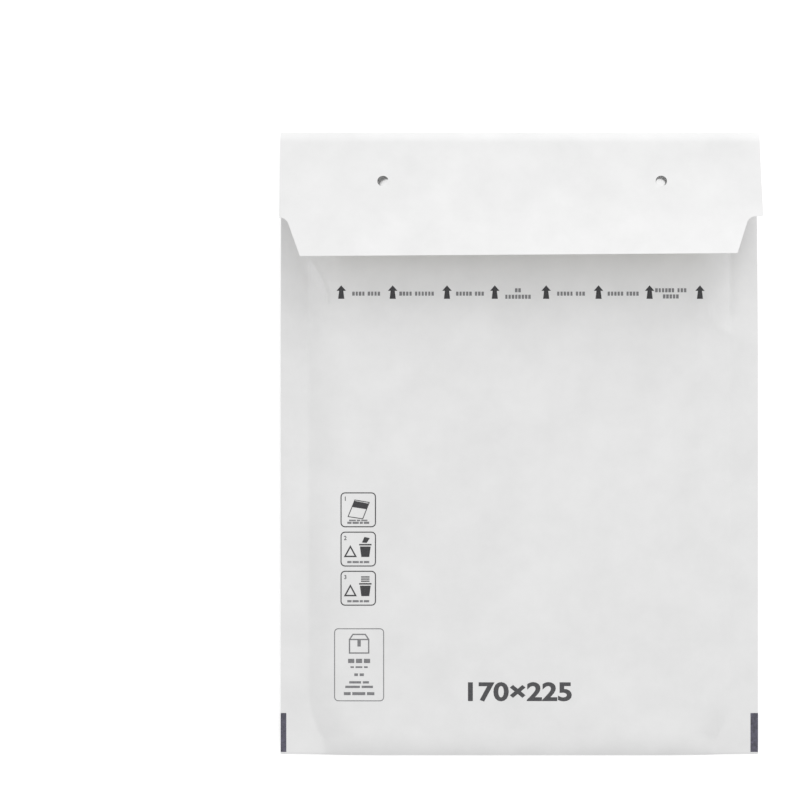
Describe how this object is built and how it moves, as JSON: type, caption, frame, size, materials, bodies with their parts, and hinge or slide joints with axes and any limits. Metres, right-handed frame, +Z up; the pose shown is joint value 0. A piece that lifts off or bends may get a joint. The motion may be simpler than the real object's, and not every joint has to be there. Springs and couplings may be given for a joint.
{
  "type": "padded envelope",
  "caption": "White paper mailing envelope lined with air-bubble film, lying on its back with its flap folded over the front and standing a little open.",
  "frame": {"origin": "middle of the footprint, on the table under the back panel", "axes": "+X across the width, +Y along the length towards the flap's fold, +Z up out of the front panel"},
  "size_m": [0.17, 0.222, 0.0234],
  "materials": {
    "white_paper": "matte",
    "bubble_film": "gloss",
    "glazed_paper": "satin",
    "print_ink": "matte",
    "edge_mark_ink": "matte"
  },
  "bodies": {
    "root": {"paper_envelope": "white_paper", "bubble_lining": "bubble_film", "release_liner": "glazed_paper"}
  },
  "joints": []
}
